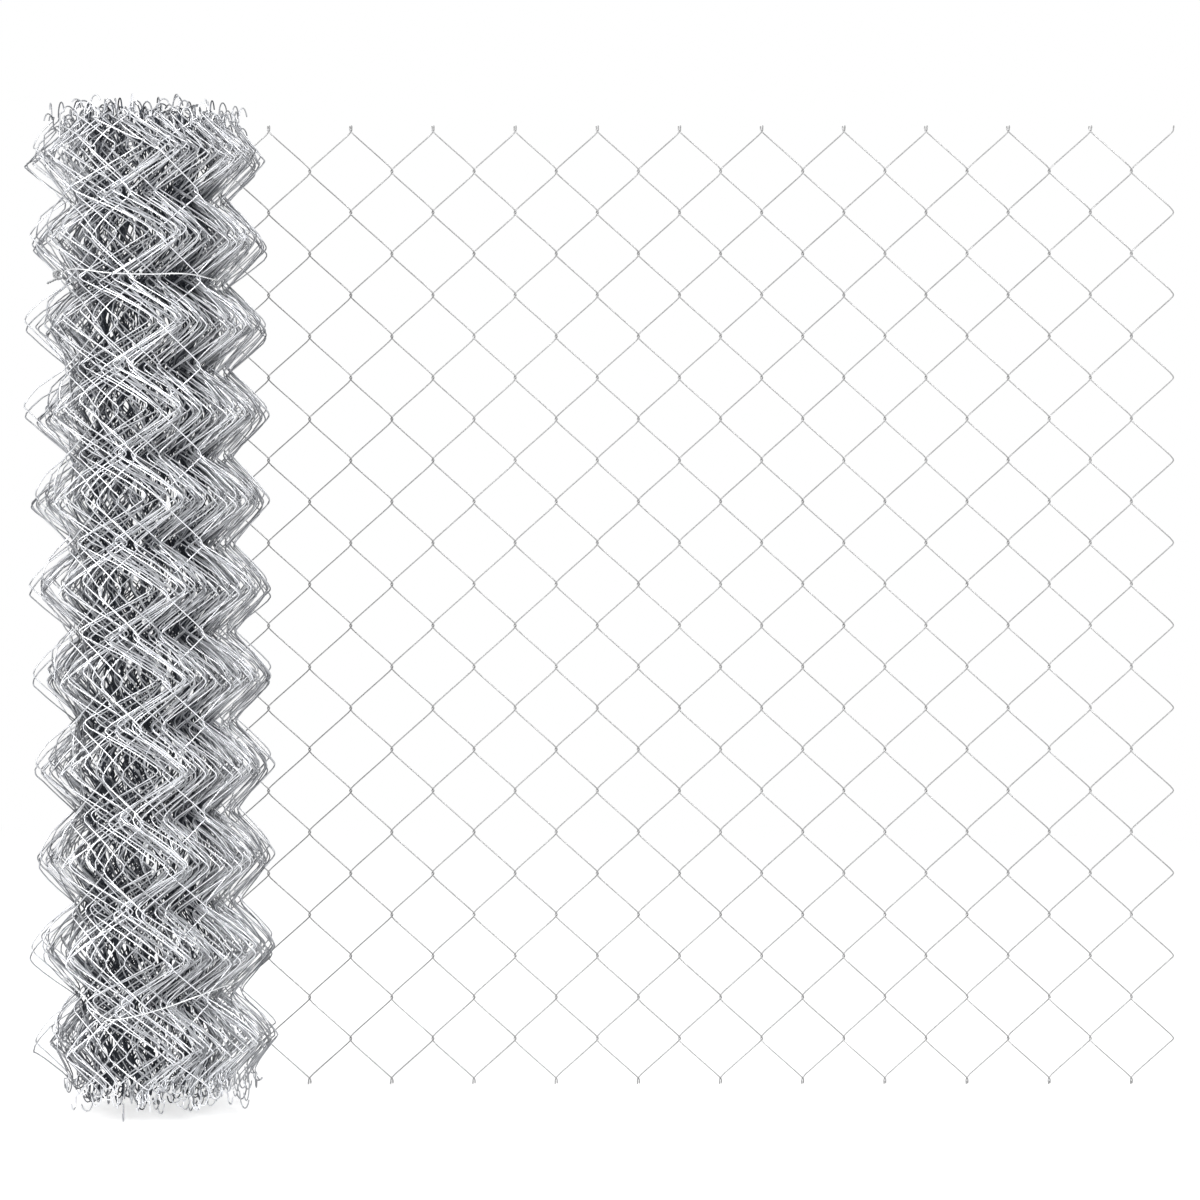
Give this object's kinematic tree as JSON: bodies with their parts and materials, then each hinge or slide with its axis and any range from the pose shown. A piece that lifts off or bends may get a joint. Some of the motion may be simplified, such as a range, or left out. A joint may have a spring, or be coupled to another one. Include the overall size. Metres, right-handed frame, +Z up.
{
  "type": "roll of chain-link fencing",
  "caption": "Compact upright roll of galvanised diamond-mesh fencing, tied with wire, its outer end pulled out as a flat run of woven zigzag wires.",
  "frame": {"origin": "axis of the roll's core at floor level", "axes": "+Z up along the roll's core, +X along the flat run away from the roll, +Y from the picture's viewer towards the run behind the roll"},
  "size_m": [1.1614, 0.2413, 1],
  "materials": {
    "galvanised_wire": "hot-dip galvanised",
    "tie_wire": "galvanised"
  },
  "bodies": {
    "root": {"roll": "galvanised_wire", "run_wire_01": "galvanised_wire", "run_wire_02": "galvanised_wire", "run_wire_03": "galvanised_wire", "run_wire_04": "galvanised_wire", "run_wire_05": "galvanised_wire", "run_wire_06": "galvanised_wire", "run_wire_07": "galvanised_wire", "run_wire_08": "galvanised_wire", "run_wire_09": "galvanised_wire", "run_wire_10": "galvanised_wire", "run_wire_11": "galvanised_wire", "run_wire_12": "galvanised_wire", "run_wire_13": "galvanised_wire", "run_wire_14": "galvanised_wire", "run_wire_15": "galvanised_wire", "run_wire_16": "galvanised_wire", "run_wire_17": "galvanised_wire", "run_wire_18": "galvanised_wire", "run_wire_19": "galvanised_wire", "run_wire_20": "galvanised_wire", "run_wire_21": "galvanised_wire", "run_wire_22": "galvanised_wire", "run_wire_23": "galvanised_wire", "run_wire_24": "galvanised_wire", "run_wire_25": "galvanised_wire", "tie_upper": "tie_wire", "tie_lower": "tie_wire"}
  },
  "joints": []
}
